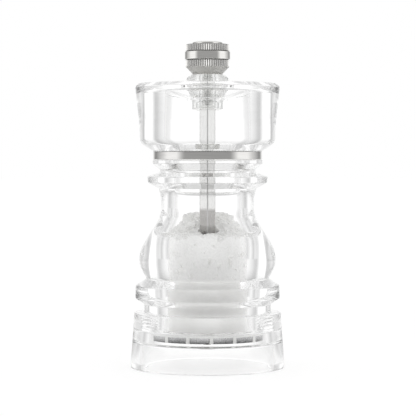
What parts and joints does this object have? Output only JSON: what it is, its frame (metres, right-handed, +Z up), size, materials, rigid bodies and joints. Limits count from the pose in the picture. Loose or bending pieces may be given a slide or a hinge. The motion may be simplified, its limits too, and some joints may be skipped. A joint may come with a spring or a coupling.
{
  "type": "pepper mill",
  "caption": "Clear hand mill with a turning head, a square spindle, a ceramic cone grinder in a screwed base collar and a knurled knob that sets the grind.",
  "frame": {"origin": "centre of the foot on the table", "axes": "+Z up along the spindle; -Y is the front, and the mill is round"},
  "size_m": [0.0588, 0.0588, 0.1252],
  "materials": {
    "clear_acrylic": "polished, water clear",
    "clear_bush": "moulded, clear with a grey cast",
    "brushed_ring": "brushed round the axis",
    "knob_metal": "satin plated, straight knurl, polished band",
    "brass": "turned",
    "nylon": "natural nylon",
    "spindle_steel": "drawn bar",
    "clip_steel": "dark spring steel",
    "dark_steel": "blackened steel",
    "washer_steel": "stamped",
    "spring_steel": "drawn wire",
    "white_plastic": "milky moulded plastic",
    "ceramic": "fired, unglazed",
    "salt": "loose crystals"
  },
  "bodies": {
    "mill_body": {"base_collar": "clear_acrylic", "body_shell": "clear_acrylic", "neck_ring": "brushed_ring", "grinder_housing": "white_plastic", "foot_ring": "dark_steel", "stator": "ceramic", "spider": "white_plastic", "salt_fill": "salt"},
    "turning_washer": {"spring_washer": "washer_steel"},
    "head": {"head_shell": "clear_acrylic", "drive_bush": "clear_bush"},
    "knob": {"knob": "knob_metal", "knob_insert": "brass", "knob_pad": "nylon"},
    "spindle": {"spindle": "spindle_steel", "spindle_clip": "clip_steel", "rotor_washer": "washer_steel", "rotor_core": "white_plastic", "rotor": "ceramic", "spring": "spring_steel"}
  },
  "joints": [
    {"name": "head_turn", "type": "hinge", "parent": "mill_body", "child": "turning_washer", "pos_m": [0, 0, 0.083], "axis": [0, 0, 1], "continuous": true},
    {"name": "head_lift", "type": "slide", "parent": "turning_washer", "child": "head", "axis": [0, 0, 1], "range_m": [0, 0.042]},
    {"name": "knob_turn", "type": "hinge", "parent": "head", "child": "knob", "pos_m": [0, 0, 0.118], "axis": [0, 0, 1], "range_deg": [-360, 540]},
    {"name": "spindle_adjust", "type": "slide", "parent": "turning_washer", "child": "spindle", "axis": [0, 0, 1], "range_m": [-0.00105, 0.0007], "deforming": ["spring"]}
  ],
  "couplings": [
    {"joint": "knob_turn", "follows": "spindle_adjust", "rad_per_m": -8975.9}
  ]
}
